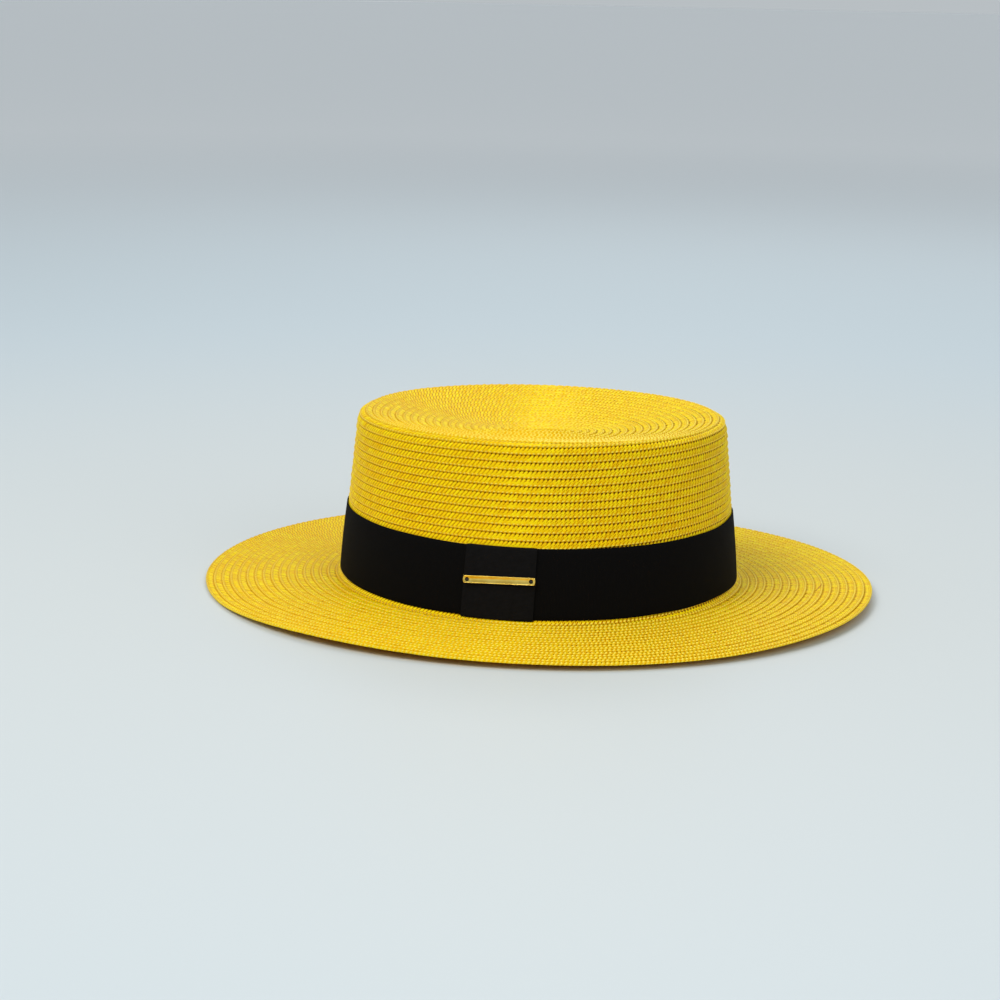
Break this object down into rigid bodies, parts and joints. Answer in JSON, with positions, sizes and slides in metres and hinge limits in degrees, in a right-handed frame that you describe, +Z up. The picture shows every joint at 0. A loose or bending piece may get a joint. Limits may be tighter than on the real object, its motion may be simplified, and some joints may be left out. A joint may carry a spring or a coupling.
{
  "type": "straw boater hat",
  "caption": "Straw boater hat with a flat-sided oval crown, dished tip, wide flat brim, ribbon band with a tab over its join and a slim metal bar.",
  "frame": {"origin": "on the resting surface, under the middle of the oval hat", "axes": "+Z up through the tip of the crown; +X along the oval's long axis, towards the back of the hat; -Y towards the side with the tab and the bar, the wearer's left"},
  "size_m": [0.343, 0.3178, 0.0884],
  "materials": {
    "straw": "woven paper braid, soft sheen",
    "ribbon": "matte grosgrain",
    "gold": "polished"
  },
  "bodies": {
    "root": {"crown": "straw", "brim": "straw", "hat_band": "ribbon", "band_tab": "ribbon", "name_plate": "gold"}
  },
  "joints": []
}
